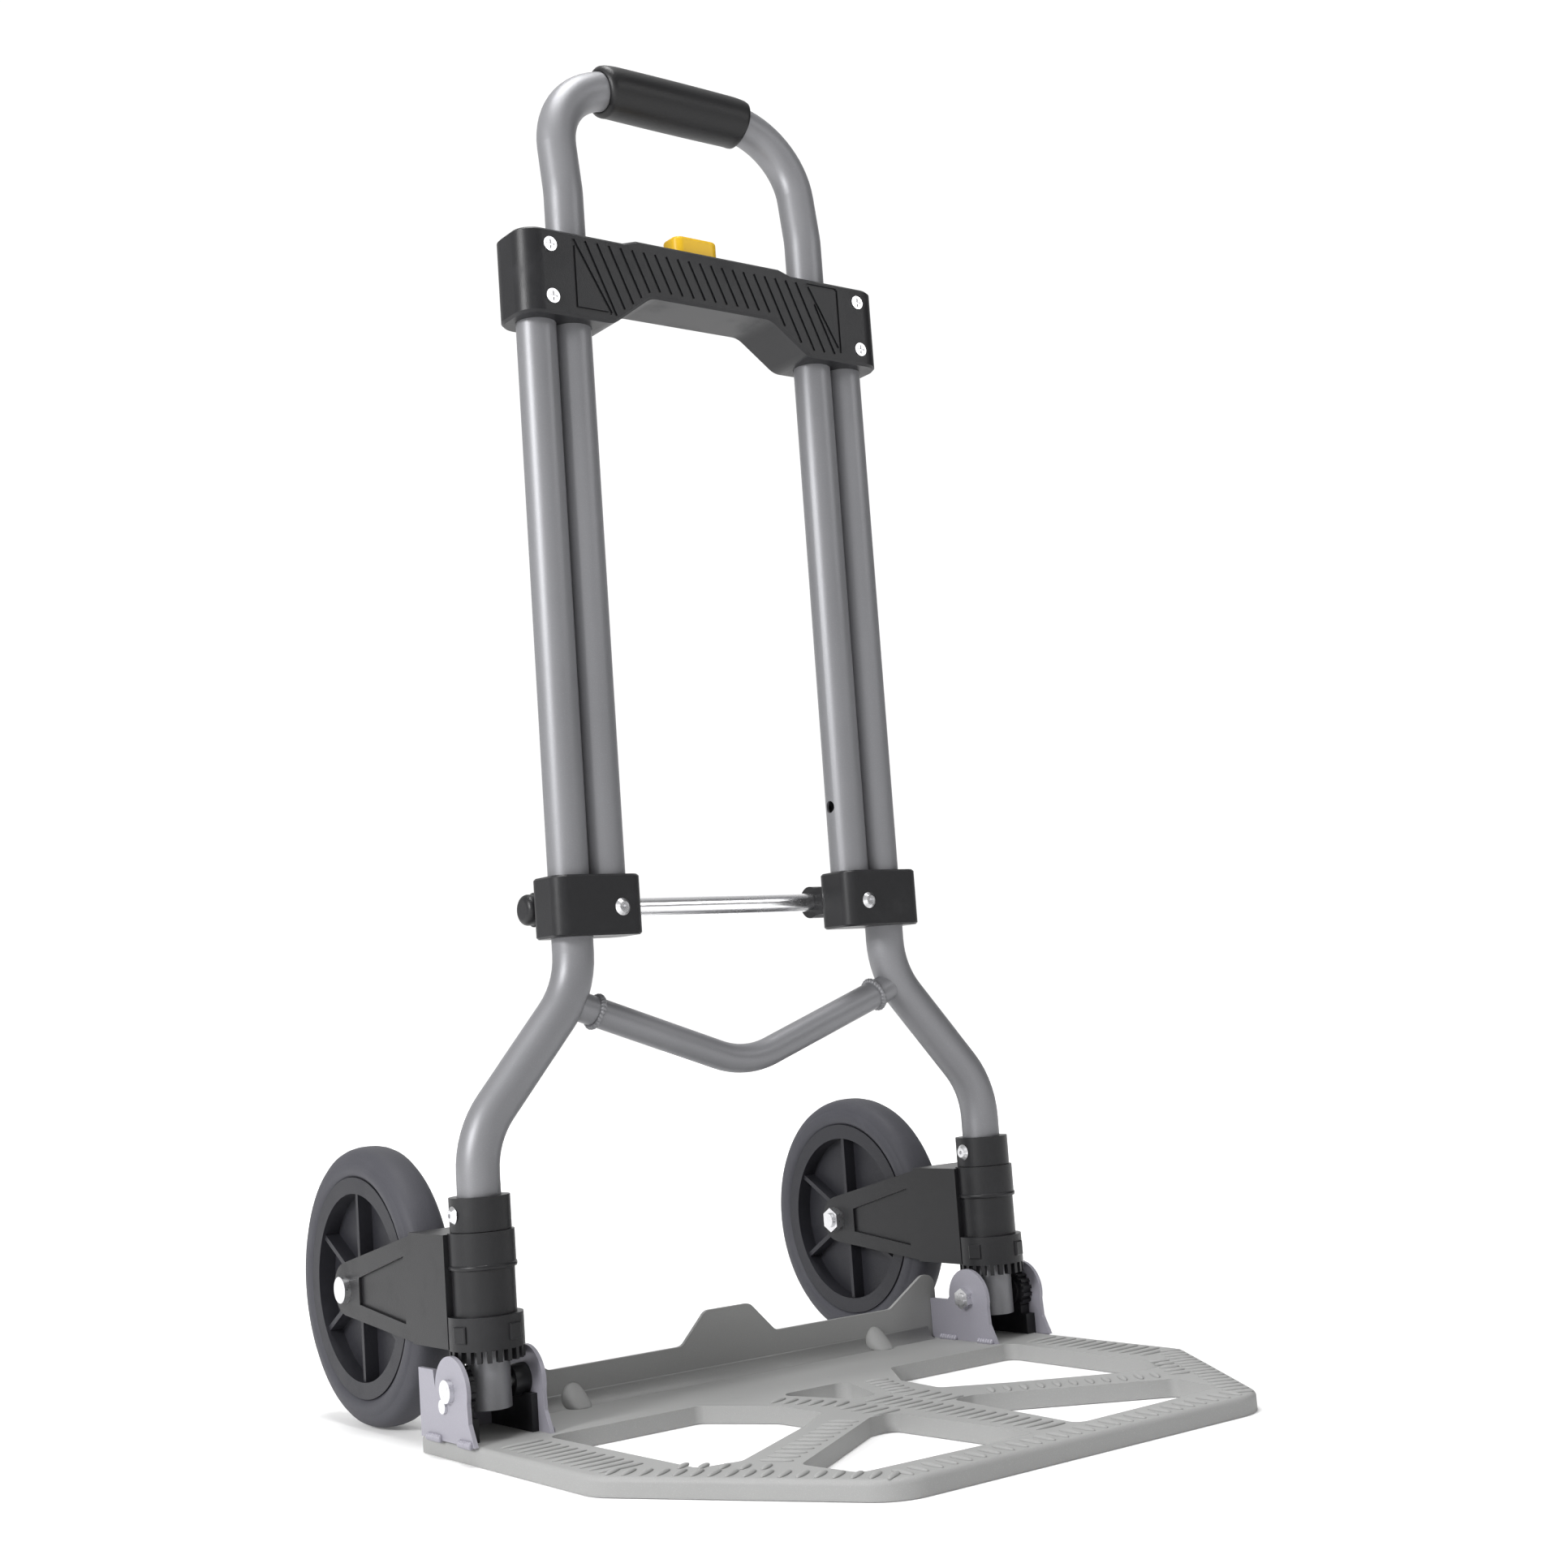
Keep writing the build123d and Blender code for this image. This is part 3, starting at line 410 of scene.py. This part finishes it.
# The floor's emission is painted light: a faint glow near the truck that lights undersides, growing
# brighter with distance so the far floor fades into the white room.
def shop_floor():
    bench = Bench("pale_floor")
    cloud = bench.noise(3.0)
    away = bench.node("ShaderNodeVectorMath", {"operation": "LENGTH"}, {0: bench.place},
                      out="Value")
    far = bench.ramp(away * 0.2, 0.08, 0.55)
    glow = bench.blend(far, (0.10, 0.10, 0.10), (0.75, 0.75, 0.75))
    base = bench.blend(cloud, (0.90, 0.90, 0.90), (0.92, 0.92, 0.92))
    return bench.finish(Base_Color=base, Roughness=0.75 + 0.1 * cloud,
                        Specular_IOR_Level=0.2, Emission_Color=glow, Emission_Strength=1.0)


floor.data.materials.append(shop_floor())

# %% [markdown]
# Each design part names its material slot in its record, so the finishes could be set one by
# one, but a lookup from slot to finish leaves none out. Only the hinge brackets differ from
# their slot: they are a separate pressing with a cooler, smoother coat than the plate.

# %% Give every design part its finish
BY_SLOT = {"tube_paint": TUBE_PAINT, "plate_paint": PLATE_PAINT,
           "black_plastic": BLACK_PLASTIC, "rim_plastic": RIM_PLASTIC,
           "tyre_rubber": TYRE_RUBBER, "zinc": ZINC, "spring_steel": SPRING_STEEL,
           "bush_plastic": BUSH_PLASTIC, "chrome_bar": CHROME, "grip_foam": FOAM,
           "yellow_plastic": YELLOW_PLASTIC}
SLOT_OF = {part["node"]: part["material_slot"] for part in frame["record"]["subparts"]}
for node, part in frame["nodes"].items():
    finish = BRACKET_PAINT if node.endswith("hinge_bracket") else BY_SLOT[SLOT_OF[node]]
    part.data.materials.clear()
    part.data.materials.append(finish)
print("finishes on", len(SLOT_OF), "parts")


# %% [markdown]
# ## Tyres
# A tyre is a lathe job: one outline turned about the axle. The tread is almost flat with soft
# shoulders, the sidewall bulges a little and drops in a step to the rim. A Screw modifier could
# turn the outline too, but a loop writes the closed ring directly, with no seam to merge.

# %% Turned shapes
def turned(name, outline, at, segments=128):
    vertices, faces = [], []
    for i in range(segments):
        angle = 2 * pi * i / segments
        vertices += [at + Vector((x, r * cos(angle), r * sin(angle))) for x, r in outline]
    count = len(outline)
    for i in range(segments):
        for j in range(count):
            here, there = i * count, ((i + 1) % segments) * count
            ahead = (j + 1) % count
            faces.append((here + j, here + ahead, there + ahead, there + j))
    return piece_from(name, vertices, faces)


RIM_R = extent("left_rim").z / 2
TYRE_HALF = extent("left_tyre").x / 2
TYRE_SEAT_GAP = 0.00005


def tyre_outline():
    """Half-width and radius of one closed loop, from the bead round the tread and back."""
    seat = RIM_R + TYRE_SEAT_GAP
    bead = [(TYRE_HALF - 0.0022, seat), (TYRE_HALF - 0.0016, seat + 0.0012),
            (TYRE_HALF - 0.0004, seat + 0.0022)]
    sidewall = [(TYRE_HALF, seat + 0.005), (TYRE_HALF - 0.0001, seat + 0.009),
                (TYRE_HALF - 0.0011, seat + 0.0098), (TYRE_HALF - 0.0013, seat + 0.0106)]
    shoulder = [(TYRE_HALF - 0.0024, WHEEL_R - 0.0042), (TYRE_HALF - 0.0044, WHEEL_R - 0.0020),
                (TYRE_HALF - 0.0070, WHEEL_R - 0.0008)]
    half = bead + sidewall + shoulder + [(0.0036, WHEEL_R - 0.0001), (0.0009, WHEEL_R)]
    return half + [(-x, r) for x, r in reversed(half)]


for name in SIDES:
    tyre = turned(f"{name}_tyre_rubber", tyre_outline(), AXLE[name])
    tyre.data.materials.append(TYRE_RUBBER)
    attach(tyre, f"{name}_wheel")
    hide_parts(f"{name}_tyre")
print("tyre loop", len(tyre_outline()), "points")


# %% [markdown]
# ## Foam grip
# The grip is a foam sleeve pushed over the top of the loop, so it follows the tube's line into
# both bends, swells a hair in the middle and has rolled ends. A bevelled curve could follow the
# tube, but not roll its ends, so it is one closed skin: out along the outside, back by the bore.

# %% Grip
LOOP_R = 0.050
GRIP_LOW, GRIP_HIGH = corners_of("foam_grip")
GRIP_HALF = (GRIP_HIGH.x - GRIP_LOW.x) / 2
HANDLE_HIGH = Vector(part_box("handle_tube")[1])
HANDLE_TUBE_R = 0.0125
HANDLE_X = HANDLE_HIGH.x - HANDLE_TUBE_R
GRIP_R = 0.017
LOOP_TOP = GRIP_HIGH.z - GRIP_R
LOOP_BACK = GRIP_HIGH.y - GRIP_R
LOOP_LEAN = 0.011 / 0.081
GRIP_ROLL, GRIP_SWELL, GRIP_TUCK, BORE_GAP = 0.0035, 0.0004, 0.0030, 0.0001


def loop_point(x):
    """Centre line of the handle's loop and its direction, at x from the middle."""
    straight = HANDLE_X - LOOP_R
    over = max(0.0, abs(x) - straight)
    turn = asin(min(1.0, over / LOOP_R))
    drop = LOOP_R * (1 - cos(turn))
    side = 1 if x > 0 else -1
    down = Vector((0, -LOOP_LEAN, -1)).normalized()
    centre = Vector((x, LOOP_BACK, LOOP_TOP)) + down * drop
    along = Vector((cos(turn), 0, 0)) + down * (side * sin(turn))
    return centre, along.normalized()


def grip_rings(rows=60):
    rings = []
    for i in range(rows + 1):
        t = -1 + 2 * i / rows
        x = GRIP_HALF * t
        edge = max(0.0, 1 - (1 - abs(t)) * GRIP_HALF / GRIP_ROLL)
        tuck = GRIP_TUCK * (1 - sqrt(max(0.0, 1 - edge * edge)))
        rings.append((x, GRIP_R - GRIP_SWELL + GRIP_SWELL * (1 - t * t) - tuck))
    bore = [(x, HANDLE_TUBE_R + BORE_GAP) for x, _ in reversed(rings)]
    return rings + bore


def sleeve_along(name, rings, around=48):
    vertices, faces = [], []
    for x, radius in rings:
        centre, along = loop_point(x)
        front = along.cross(Vector((0, 0, 1))).normalized()
        up = front.cross(along)
        for k in range(around):
            turn = 2 * pi * k / around
            vertices.append(centre + (front * cos(turn) + up * sin(turn)) * radius)
    for i in range(len(rings)):
        j = (i + 1) % len(rings)
        for k in range(around):
            m = (k + 1) % around
            faces.append((i * around + k, i * around + m, j * around + m, j * around + k))
    return piece_from(name, vertices, faces)


grip = sleeve_along("foam_sleeve", grip_rings())
grip.data.materials.append(FOAM)
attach(grip, "handle")
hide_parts("foam_grip")
print("grip half length", round(GRIP_HALF, 4))

# %% [markdown]
# ## Treads pressed into the toe plate
# Rows of short ribs run along the rim and the spokes. A row is a path with one rib every few
# millimetres, which is what Geometry Nodes is good at: the tree resamples the path, stands a rib
# on each point, turns it across the path and leans it, then makes the copies real.


# %% Rib tree
RIB_SIZES = {"Spacing": 0.009, "Length": 0.016, "Width": 0.0034, "Height": 0.0012, "Lean": 0.3}


def socket(tree, name, kind, value=None):
    made = tree.interface.new_socket(name, in_out="INPUT", socket_type=kind)
    if value is not None:
        made.default_value = value
    return made


def rib_tree():
    tree = bpy.data.node_groups.new("tread_row", "GeometryNodeTree")
    socket(tree, "Path", "NodeSocketGeometry")
    for label, usual in RIB_SIZES.items():
        socket(tree, label, "NodeSocketFloat", usual)
    socket(tree, "Finish", "NodeSocketMaterial")
    tree.interface.new_socket("Ribs", in_out="OUTPUT", socket_type="NodeSocketGeometry")
    add, link = tree.nodes.new, tree.links.new
    given, result = add("NodeGroupInput"), add("NodeGroupOutput")
    curve, resample = add("GeometryNodeMeshToCurve"), add("GeometryNodeResampleCurve")
    resample.mode = "LENGTH"
    link(given.outputs["Path"], curve.inputs["Mesh"])
    link(curve.outputs["Curve"], resample.inputs["Curve"])
    link(given.outputs["Spacing"], resample.inputs["Length"])
    rib, size = add("GeometryNodeMeshIcoSphere"), add("ShaderNodeCombineXYZ")
    rib.inputs["Radius"].default_value = 0.5
    rib.inputs["Subdivisions"].default_value = 3
    for name, axis in (("Length", "X"), ("Width", "Y"), ("Height", "Z")):
        link(given.outputs[name], size.inputs[axis])
    stand, tangent = add("GeometryNodeInstanceOnPoints"), add("GeometryNodeInputTangent")
    aim = add("FunctionNodeAlignEulerToVector")
    aim.axis = "Y"
    aim.pivot_axis = "Z"
    link(tangent.outputs["Tangent"], aim.inputs["Vector"])
    turn, lean = add("FunctionNodeRotateEuler"), add("ShaderNodeCombineXYZ")
    turn.space = "LOCAL"
    link(given.outputs["Lean"], lean.inputs["Z"])
    link(aim.outputs["Rotation"], turn.inputs["Rotation"])
    link(lean.outputs["Vector"], turn.inputs["Rotate By"])
    link(resample.outputs["Curve"], stand.inputs["Points"])
    link(rib.outputs["Mesh"], stand.inputs["Instance"])
    link(turn.outputs["Rotation"], stand.inputs["Rotation"])
    link(size.outputs["Vector"], stand.inputs["Scale"])
    real, paint = add("GeometryNodeRealizeInstances"), add("GeometryNodeSetMaterial")
    shade = add("GeometryNodeSetShadeSmooth")
    link(stand.outputs["Instances"], real.inputs["Geometry"])
    link(real.outputs["Geometry"], shade.inputs["Geometry"])
    link(shade.outputs["Geometry"], paint.inputs["Geometry"])
    link(given.outputs["Finish"], paint.inputs["Material"])
    link(paint.outputs["Geometry"], result.inputs["Ribs"])
    return tree


def path_mesh(name, runs):
    """Open runs of straight edges, as one mesh without faces."""
    vertices, edges = [], []
    for run in runs:
        start = len(vertices)
        vertices += [tuple(p) for p in run]
        edges += [(start + i, start + i + 1) for i in range(len(run) - 1)]
    mesh = bpy.data.meshes.new(name)
    mesh.from_pydata(vertices, edges, [])
    made = bpy.data.objects.new(name, mesh)
    bpy.context.collection.objects.link(made)
    return made


def grown(name, runs, tree, finish, **values):
    """Runs the tree on the runs and keeps only the plain mesh that it makes."""
    holder = path_mesh(name, runs)
    modifier = holder.modifiers.new("grow", "NODES")
    modifier.node_group = tree
    ids = {item.name: item.identifier for item in tree.interface.items_tree
           if item.in_out == "INPUT"}
    modifier[ids["Finish"]] = finish
    for key, value in values.items():
        modifier[ids[key]] = value
    holder.update_tag()
    seen = holder.evaluated_get(bpy.context.evaluated_depsgraph_get())
    mesh = bpy.data.meshes.new_from_object(seen)
    holder.modifiers.clear()
    holder.data = mesh
    return holder


# %% [markdown]
# The rows follow the plate: along both sides, round the cut corners, across the front and down
# each spoke. Paths could be drawn by hand, but most are straight between two places measured
# from the plate, and the left side is the mirror image of the right.

# %% Rows on the deck
TREADS = rib_tree()
PLATE_LOW, PLATE_HIGH = corners_of("toe_plate")
PLATE_W, PLATE_FRONT = PLATE_HIGH.x, PLATE_LOW.y
CORNER_DEPTH, FRONT_HALF, RIB_LIFT = 0.138, 0.128, 0.0001
SIDE_TURN = PLATE_FRONT + CORNER_DEPTH
RIB_Z = DECK_TOP + RIB_LIFT
RIB_WIDTH, RIB_HEIGHT = 0.0042, 0.0026
RIM_PITCH, SPOKE_PITCH = 0.0092, 0.0088
CORNER_A = Vector((PLATE_W, SIDE_TURN, RIB_Z))
CORNER_B = Vector((FRONT_HALF, PLATE_FRONT, RIB_Z))
CORNER_IN = Vector((CORNER_B.y - CORNER_A.y, CORNER_A.x - CORNER_B.x, 0)).normalized()


def both_sides(run):
    """A run on the right and its mirror image on the left."""
    return [run, [Vector((-p.x, p.y, p.z)) for p in run]]


def deck_run(*points):
    """A run from (x, distance in front of the legs) pairs."""
    return [Vector((x, SPINE_Y - ahead, RIB_Z)) for x, ahead in points]


def corner_run(inset, start, end):
    """A run along the cut corner: how far in, with its ends as shares of the edge."""
    return [CORNER_A.lerp(CORNER_B, share) + CORNER_IN * inset for share in (start, end)]


# name: (runs, distance between ribs, rib length)
ROWS = {
    "side_treads": (both_sides(deck_run((0.194, 0.040), (0.194, 0.142))), RIM_PITCH, 0.027),
    "corner_treads": (both_sides(corner_run(0.0105, 0.04, 0.96)), RIM_PITCH, 0.0155),
    "knee_treads": (both_sides(corner_run(0.025, 0.24, 0.52)), RIM_PITCH, 0.0125),
    "front_treads": ([deck_run((-0.116, 0.2715), (0.116, 0.2715))], RIM_PITCH, 0.0165),
    "spoke_treads": (both_sides(deck_run((0.054, 0.1455), (0.136, 0.1965))), SPOKE_PITCH, 0.0185),
    "middle_treads": ([deck_run((0, 0.110), (0, 0.252))], SPOKE_PITCH, 0.021),
    "hub_treads": (both_sides(deck_run((0.0235, 0.116), (0.0235, 0.146))), SPOKE_PITCH, 0.019),
    "rear_treads": (both_sides(deck_run((0.0225, 0.104), (0.037, 0.062))), SPOKE_PITCH, 0.0155),
}
for name, (runs, pitch, length) in ROWS.items():
    ribs = grown(name, runs, TREADS, PLATE_PAINT, Height=RIB_HEIGHT, Lean=0.0,
                 Spacing=pitch, Length=length, Width=RIB_WIDTH)
    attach(ribs, "toe")
    print(name, len(ribs.data.polygons), "faces")


# %% [markdown]
# The wall behind the deck is bent up from the same sheet, so its foot is round, not sharp. Two
# dents pressed through the bend stiffen it. Both are thin skins that lie on the design model's
# plain bend: a quarter-round strip, and a half cone over each gusset.

# %% Bend and dents
BEND_R, BEND_HALF, WALL_T, SINK = 0.008, 0.1625, 0.0025, 0.001
WALL_Y = PLATE_HIGH.y - WALL_T
DENT_X = 0.116


def bend_strip(steps=12):
    """Concave quarter round along X, closed along the deck and the wall."""
    turns = [pi / 2 * i / steps for i in range(steps + 1)]
    arc = [(WALL_Y - BEND_R * (1 - sin(turn)), DECK_TOP + BEND_R * (1 - cos(turn)))
           for turn in turns]
    outline = arc + [(WALL_Y + SINK, DECK_TOP + BEND_R), (WALL_Y + SINK, DECK_TOP - SINK),
                     (WALL_Y - BEND_R, DECK_TOP - SINK)]
    count = len(outline)
    points = [(x, y, z) for x in (-BEND_HALF, BEND_HALF) for y, z in outline]
    faces = [(i, (i + 1) % count, count + (i + 1) % count, count + i) for i in range(count)]
    faces += [tuple(range(count)), tuple(range(2 * count - 1, count - 1, -1))]
    return piece_from("wall_bend", points, faces)


def pressed_dent(name, x, half=0.0085, reach=0.0158, height=0.0150, across=20, along=10):
    """Half cone whose ridge runs from the deck up to the wall."""
    points = []
    for j in range(along + 1):
        share = j / along
        for i in range(across + 1):
            turn = pi * i / across
            wide, tall = half * (1 - share ** 2.5) ** 0.5, height * (1 - share)
            points.append((x - wide * cos(turn), WALL_Y + 0.0005 - reach * share,
                           DECK_TOP - 0.0004 + tall * sin(turn) ** 0.75))
    width = across + 1
    faces = [(j * width + i, j * width + i + 1, (j + 1) * width + i + 1, (j + 1) * width + i)
             for j in range(along) for i in range(across)]
    faces += [tuple(range(width - 1, -1, -1))]
    faces += [tuple(j * width for j in range(along + 1))
              + tuple(j * width + across for j in range(along, -1, -1))]
    return piece_from(name, points, faces)


bend = bend_strip()
dents = [pressed_dent(f"{name}_dent", side * DENT_X) for name, side in SIDES.items()]
for made in (bend, *dents):
    made.data.materials.append(PLATE_PAINT)
    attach(made, "toe")
print("bend radius", BEND_R, "dents", len(dents))


# %% [markdown]
# ## Weld beads
# The brace and the hinge cheeks are welded on, and a weld is a row of overlapping ripples. The
# same tree makes it: ribs set so close together that they merge into one scaly bead.

# %% Beads
def ring_run(centre, axis, radius, steps=40):
    across = axis.orthogonal().normalized()
    other = axis.cross(across)
    turns = [2 * pi * i / steps for i in range(steps + 1)]
    return [centre + (across * cos(turn) + other * sin(turn)) * radius for turn in turns]


BRACE_LOW, BRACE_HIGH = corners_of("cross_brace")
BRACE_R = (BRACE_HIGH.y - BRACE_LOW.y) / 2
BRACE_SLOPE = radians(19.7)
BRACE_WELD_X, BRACE_WELD_Z = 0.1072, 0.2424
BEAD_PITCH, BEAD_WIDTH, BEAD_LIFT = 0.0022, 0.0034, 0.0002
brace_beads = []
for side in SIDES.values():
    axis = Vector((side * cos(BRACE_SLOPE), 0, sin(BRACE_SLOPE)))
    end = Vector((side * BRACE_WELD_X, SPINE_Y, BRACE_WELD_Z))
    brace_beads.append(ring_run(end, axis, BRACE_R + BEAD_LIFT))
beads = grown("brace_welds", brace_beads, TREADS, TUBE_PAINT, Spacing=BEAD_PITCH,
              Length=0.0042, Width=BEAD_WIDTH, Height=0.0042, Lean=0.2)
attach(beads, "frame")

CHEEK_GAP, CHEEK_LIFT = 0.0004, 0.001
CHEEK_STITCHES = ((0.004, 0.016), (0.040, 0.054))
cheek_runs = []
for name in SIDES:
    low, high = corners_of(f"{name}_hinge_bracket")
    for x in (low.x - CHEEK_GAP, high.x + CHEEK_GAP):
        for ends in CHEEK_STITCHES:
            cheek_runs.append([(x, low.y + end, DECK_TOP + CHEEK_LIFT) for end in ends])
cheek_welds = grown("cheek_welds", cheek_runs, TREADS, BRACKET_PAINT, Spacing=BEAD_PITCH,
                    Length=0.0046, Width=BEAD_WIDTH, Height=0.0046, Lean=0.2)
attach(cheek_welds, "toe")
print("weld runs", len(brace_beads) + len(cheek_runs))

# %% [markdown]
# ## Sleeve lugs
# Each fork's sleeve is moulded in steps: a thin raised band in the middle and, on the lower ring,
# four small lugs. Both could be cut into the sleeve, but its mesh must stay as it is, so a band
# is turned from a short outline and the lugs are blocks with drawn-in edges, set on a circle.

# %% Bands and lugs
BAND_Z, BAND_H = 0.1040, 0.0032
LUG_Z, LUG_SIZE = 0.0680, (0.0022, 0.0085, 0.0092)
LUG_COUNT, LUG_START = 4, -70
SLEEVE_R, RING_R = 0.019, 0.0215


def sleeve_band(name, x, radius, z, height):
    """Rounded raised band round an upright sleeve."""
    low, high, soft = z - height / 2, z + height / 2, 0.0004
    outline = [(radius - 0.0008, low), (radius + soft, low + soft), (radius + 0.0006, z),
               (radius + soft, high - soft), (radius - 0.0008, high)]
    points, steps = [], 96
    for i in range(steps):
        turn = 2 * pi * i / steps
        points += [(x + r * cos(turn), SPINE_Y + r * sin(turn), level) for r, level in outline]
    count = len(outline)
    faces = []
    for i in range(steps):
        here, there = i * count, ((i + 1) % steps) * count
        for j in range(count):
            ahead = (j + 1) % count
            faces.append((here + j, there + j, there + ahead, here + ahead))
    return piece_from(name, points, faces)


def lug_block(at, turn, size):
    """Corner points of a block with its outer edges drawn in, standing on a circle."""
    deep, wide, tall = (v / 2 for v in size)
    out, along = Vector((cos(turn), sin(turn), 0)), Vector((-sin(turn), cos(turn), 0))
    corners = []
    for reach, shrink in ((-deep, 1.0), (deep * 0.6, 1.0), (deep, 0.86)):
        for a, b in ((-1, -1), (1, -1), (1, 1), (-1, 1)):
            rise = Vector((0, 0, tall * shrink * b))
            corners.append(at + out * reach + along * (wide * shrink * a) + rise)
    faces = [(4 * k + i, 4 * k + (i + 1) % 4, 4 * k + 4 + (i + 1) % 4, 4 * k + 4 + i)
             for k in range(2) for i in range(4)]
    return corners, faces + [(3, 2, 1, 0), (8, 9, 10, 11)]


for name, side in SIDES.items():
    leg_x = middle(f"{name}_leg_collar").x
    band = sleeve_band(f"{name}_sleeve_band", leg_x, SLEEVE_R, BAND_Z, BAND_H)
    points, faces = [], []
    for i in range(LUG_COUNT):
        turn = radians(LUG_START + 360 / LUG_COUNT * i)
        at = Vector((leg_x + RING_R * cos(turn), SPINE_Y + RING_R * sin(turn), LUG_Z))
        corners, quads = lug_block(at, turn, LUG_SIZE)
        faces += [tuple(len(points) + k for k in quad) for quad in quads]
        points += corners
    lugs = piece_from(f"{name}_sleeve_lugs", points, faces, smooth=False)
    for made in (band, lugs):
        made.data.materials.append(BLACK_PLASTIC)
        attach(made, f"{name}_fork_body")
print("lugs on", len(SIDES), "sleeves")
